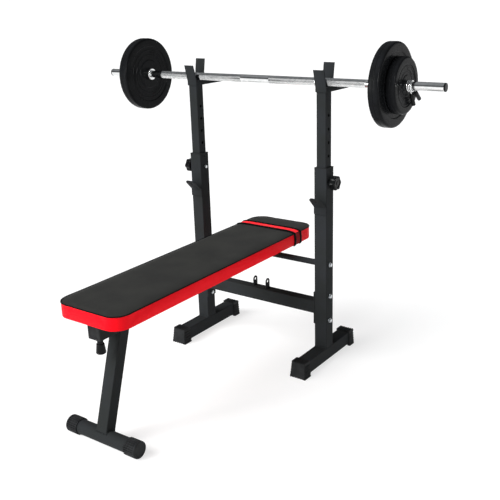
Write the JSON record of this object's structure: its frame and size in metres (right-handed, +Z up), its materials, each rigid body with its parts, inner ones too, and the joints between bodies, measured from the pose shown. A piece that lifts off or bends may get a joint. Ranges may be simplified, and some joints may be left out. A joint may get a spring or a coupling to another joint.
{
  "type": "weight bench",
  "caption": "Flat padded bench with a folding front leg, hinged on a rack whose telescopic posts carry a barbell with discs.",
  "frame": {"origin": "on the floor, under the middle of the whole object", "axes": "+Z up, +Y from the front leg towards the rack and the head end, +X to the right of someone facing the rack"},
  "size_m": [1.42, 1.083, 1.1655],
  "materials": {
    "frame_coat": "satin charcoal powder coat",
    "cap_rubber": "moulded matt rubber",
    "guide_plastic": "moulded",
    "zinc_steel": "bright zinc plate",
    "pin_steel": "turned steel",
    "knob_plastic": "moulded, semi-gloss",
    "plywood": "raw plywood",
    "vinyl_red": "upholstery vinyl, red",
    "vinyl_black": "upholstery vinyl, fine grain",
    "bar_chrome": "polished and knurled",
    "disc_plastic": "moulded shell, semi-gloss",
    "clip_wire": "plated spring wire",
    "grip_vinyl": "dipped vinyl"
  },
  "bodies": {
    "rack": {"upright_left": "frame_coat", "upright_right": "frame_coat", "foot_tube_left": "frame_coat", "foot_tube_right": "frame_coat", "foot_cap_front_left": "cap_rubber", "foot_cap_front_right": "cap_rubber", "foot_cap_rear_left": "cap_rubber", "foot_cap_rear_right": "cap_rubber", "guide_sleeve_left": "guide_plastic", "guide_sleeve_right": "guide_plastic", "catch_hook_left": "frame_coat", "catch_hook_right": "frame_coat", "lower_crossbeam": "frame_coat", "crossbeam_end_plates": "frame_coat", "decline_bracket": "frame_coat", "hinge_crossbar": "frame_coat", "frame_bolts": "zinc_steel", "frame_washers": "zinc_steel", "frame_nuts": "zinc_steel", "lock_bosses": "frame_coat", "pin_end_ferrules": "zinc_steel"},
    "bench": {"pad_board": "plywood", "pad_cushion": "vinyl_red", "bench_beam": "frame_coat", "beam_plug_front": "knob_plastic", "beam_plug_rear": "knob_plastic", "hinge_sleeve": "frame_coat", "pad_support_front": "frame_coat", "pad_support_rear": "frame_coat", "pad_screws": "zinc_steel", "pull_pin_bush": "knob_plastic", "pull_pin_spring": "zinc_steel", "leg_pivot_bolt": "zinc_steel"},
    "front_leg": {"leg_tube": "frame_coat", "leg_foot_tube": "frame_coat", "leg_cap_left": "cap_rubber", "leg_cap_right": "cap_rubber"},
    "pull_pin": {"pull_pin_rod": "pin_steel", "pull_pin_knob": "knob_plastic"},
    "barbell": {"bar": "bar_chrome", "inner_rings": "bar_chrome", "bar_end_caps": "knob_plastic"},
    "post_left": {"inner_post_left": "frame_coat", "bar_cradle_left": "frame_coat", "cradle_arm_left": "frame_coat"},
    "lock_pin_left": {"lock_pin_left": "pin_steel"},
    "lock_knob_left": {"lock_knob_left": "knob_plastic"},
    "large_disc_left": {"large_disc_left": "disc_plastic"},
    "small_disc_left": {"small_disc_left": "disc_plastic"},
    "clip_left": {"spring_clip_left": "clip_wire", "clip_grips_left": "grip_vinyl"},
    "post_right": {"inner_post_right": "frame_coat", "bar_cradle_right": "frame_coat", "cradle_arm_right": "frame_coat"},
    "lock_pin_right": {"lock_pin_right": "pin_steel"},
    "lock_knob_right": {"lock_knob_right": "knob_plastic"},
    "large_disc_right": {"large_disc_right": "disc_plastic"},
    "small_disc_right": {"small_disc_right": "disc_plastic"},
    "clip_right": {"spring_clip_right": "clip_wire", "clip_grips_right": "grip_vinyl"}
  },
  "joints": [
    {"name": "post_height", "type": "slide", "parent": "rack", "child": "post_right", "axis": [0, 0, 1], "range_m": [-0.2325, 0]},
    {"name": "post_height_left", "type": "slide", "parent": "rack", "child": "post_left", "axis": [0, 0, 1], "range_m": [-0.2325, 0]},
    {"name": "barbell_lift", "type": "slide", "parent": "post_right", "child": "barbell", "axis": [0, 0, 1], "range_m": [0, 0.2]},
    {"name": "bench_fold", "type": "hinge", "parent": "rack", "child": "bench", "pos_m": [0, 0.3595, 0.381], "axis": [-1, 0, 0], "range_deg": [0, 70]},
    {"name": "leg_fold", "type": "hinge", "parent": "bench", "child": "front_leg", "pos_m": [0, -0.3965, 0.381], "axis": [1, 0, 0], "range_deg": [0, 95]},
    {"name": "pull_pin_pull", "type": "slide", "parent": "bench", "child": "pull_pin", "axis": [0, 0, -1], "range_m": [0, 0.01], "stiffness_N_per_m": 800, "springref_m": -0.004, "deforming": ["pull_pin_spring"]},
    {"name": "lock_pull_left", "type": "slide", "parent": "rack", "child": "lock_pin_left", "axis": [-1, 0, 0], "range_m": [0, 0.012]},
    {"name": "lock_turn_left", "type": "hinge", "parent": "lock_pin_left", "child": "lock_knob_left", "pos_m": [-0.323, 0.3595, 0.686], "axis": [-1, 0, 0], "continuous": true},
    {"name": "large_disc_spin_left", "type": "hinge", "parent": "barbell", "child": "large_disc_left", "pos_m": [-0.527, 0.3595, 1.03], "axis": [1, 0, 0], "continuous": true},
    {"name": "small_disc_spin_left", "type": "hinge", "parent": "barbell", "child": "small_disc_left", "pos_m": [-0.563, 0.3595, 1.03], "axis": [1, 0, 0], "continuous": true},
    {"name": "clip_slide_left", "type": "slide", "parent": "barbell", "child": "clip_left", "axis": [-1, 0, 0], "range_m": [0, 0.1]},
    {"name": "lock_pull_right", "type": "slide", "parent": "rack", "child": "lock_pin_right", "axis": [1, 0, 0], "range_m": [0, 0.012]},
    {"name": "lock_turn_right", "type": "hinge", "parent": "lock_pin_right", "child": "lock_knob_right", "pos_m": [0.323, 0.3595, 0.686], "axis": [1, 0, 0], "continuous": true},
    {"name": "large_disc_spin_right", "type": "hinge", "parent": "barbell", "child": "large_disc_right", "pos_m": [0.527, 0.3595, 1.03], "axis": [1, 0, 0], "continuous": true},
    {"name": "small_disc_spin_right", "type": "hinge", "parent": "barbell", "child": "small_disc_right", "pos_m": [0.563, 0.3595, 1.03], "axis": [1, 0, 0], "continuous": true},
    {"name": "clip_slide_right", "type": "slide", "parent": "barbell", "child": "clip_right", "axis": [1, 0, 0], "range_m": [0, 0.1]}
  ],
  "couplings": [
    {"joint": "post_height_left", "follows": "post_height", "ratio": 1}
  ]
}
